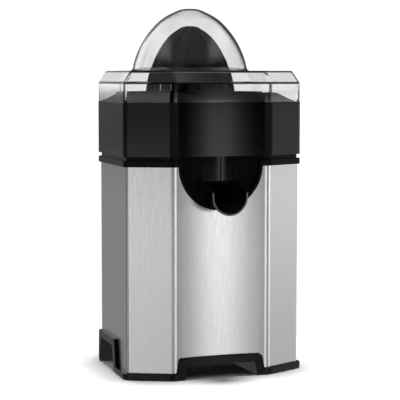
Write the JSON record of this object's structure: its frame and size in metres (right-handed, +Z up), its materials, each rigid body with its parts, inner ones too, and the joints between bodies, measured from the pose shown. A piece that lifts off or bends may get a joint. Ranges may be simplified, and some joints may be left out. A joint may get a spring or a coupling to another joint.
{
  "type": "electric citrus juicer",
  "caption": "Tall electric citrus juicer: brushed steel motor base, black lift-off juice tub with a snap-up spout, ribbed cone on a strainer basket, and a clear domed cover.",
  "frame": {"origin": "on the floor under the middle of the machine's box", "axes": "+Z up along the drive spindle, -Y towards the spout, +X to the right as seen from the front"},
  "size_m": [0.1754, 0.1906, 0.34],
  "materials": {
    "brushed_sleeve": "vertical brushed stainless steel",
    "black_moulding": "satin black moulded plastic",
    "black_gloss": "gloss black moulded plastic",
    "clear_plastic": "clear moulded plastic",
    "cone_plastic": "charcoal moulded plastic",
    "foot_rubber": "black rubber",
    "grey_moulding": "grey glass-filled plastic",
    "gear_plastic": "natural acetal",
    "lamination_steel": "stacked steel laminations",
    "magnet_ferrite": "sintered ferrite",
    "winding": "enamelled copper wire",
    "bearing_bronze": "sintered bronze",
    "bright_steel": "zinc-plated steel"
  },
  "bodies": {
    "base": {"steel_sleeve": "brushed_sleeve", "base_trim": "black_moulding", "rubber_feet": "foot_rubber", "bottom_plate": "black_moulding", "cord_bush": "foot_rubber", "tie_screws": "bright_steel", "motor_deck": "black_moulding", "spindle_tower": "black_moulding", "shaft_bush": "bearing_bronze", "shaft_seal": "foot_rubber", "gear_case": "grey_moulding", "gear_case_lid": "grey_moulding", "gear_case_screws": "bright_steel", "gear_bushes": "bearing_bronze", "idler_pin": "bright_steel", "stator_core": "lamination_steel", "coil_bobbins": "gear_plastic", "stator_coils": "winding", "motor_bracket": "bright_steel", "motor_screws": "bright_steel", "rotor_bushes": "bearing_bronze", "switch_body": "black_moulding", "switch_screws": "bright_steel"},
    "output": {"output_gear": "gear_plastic"},
    "idler": {"idler_gear": "gear_plastic"},
    "rotor": {"rotor_magnet": "magnet_ferrite", "rotor_shaft": "bright_steel", "rotor_pinion": "gear_plastic"},
    "shaft": {"drive_shaft": "bright_steel", "drive_coupler": "gear_plastic", "retaining_ring": "bright_steel", "return_spring": "bright_steel"},
    "plunger": {"switch_plunger": "gear_plastic"},
    "collector": {"juice_collector": "black_gloss", "downpipe": "black_moulding", "splash_collar": "cone_plastic", "spout_pins": "bright_steel"},
    "spout": {"spout": "black_gloss"},
    "basket": {"pulp_basket": "cone_plastic"},
    "cone": {"reamer_cone": "cone_plastic"},
    "cover": {"dust_cover": "clear_plastic"}
  },
  "joints": [
    {"name": "reamer_spin", "type": "hinge", "parent": "base", "child": "output", "pos_m": [0, 0.01195, 0.155], "axis": [0, 0, 1], "continuous": true},
    {"name": "idler_spin", "type": "hinge", "parent": "base", "child": "idler", "pos_m": [0, 0.0557, 0.155], "axis": [0, 0, 1], "continuous": true},
    {"name": "rotor_spin", "type": "hinge", "parent": "base", "child": "rotor", "pos_m": [-0.03, 0.0557, 0.12], "axis": [0, 0, 1], "continuous": true},
    {"name": "press", "type": "slide", "parent": "output", "child": "shaft", "axis": [0, 0, 1], "range_m": [-0.0025, 0], "stiffness_N_per_m": 2500, "springref_m": 0.006, "deforming": ["return_spring"]},
    {"name": "switch_press", "type": "slide", "parent": "base", "child": "plunger", "axis": [0, 0, 1], "range_m": [-0.002, 0]},
    {"name": "collector_lift", "type": "slide", "parent": "base", "child": "collector", "axis": [0, 0, 1], "range_m": [0, 0.09]},
    {"name": "spout_flip", "type": "hinge", "parent": "collector", "child": "spout", "pos_m": [0, -0.07505, 0.1735], "axis": [-1, 0, 0], "range_deg": [0, 45]},
    {"name": "cover_lift", "type": "slide", "parent": "collector", "child": "cover", "axis": [0, 0, 1], "range_m": [0, 0.1]},
    {"name": "reamer_lift", "type": "slide", "parent": "shaft", "child": "basket", "axis": [0, 0, 1], "range_m": [0, 0.09]},
    {"name": "pulp_setting", "type": "hinge", "parent": "basket", "child": "cone", "pos_m": [0, 0.01195, 0.26], "axis": [0, 0, 1], "range_deg": [0, 15]}
  ],
  "couplings": [
    {"joint": "idler_spin", "follows": "reamer_spin", "ratio": -4},
    {"joint": "rotor_spin", "follows": "reamer_spin", "ratio": 16},
    {"joint": "switch_press", "follows": "press", "ratio": 0.8},
    {"joint": "reamer_lift", "follows": "collector_lift", "ratio": 1}
  ]
}
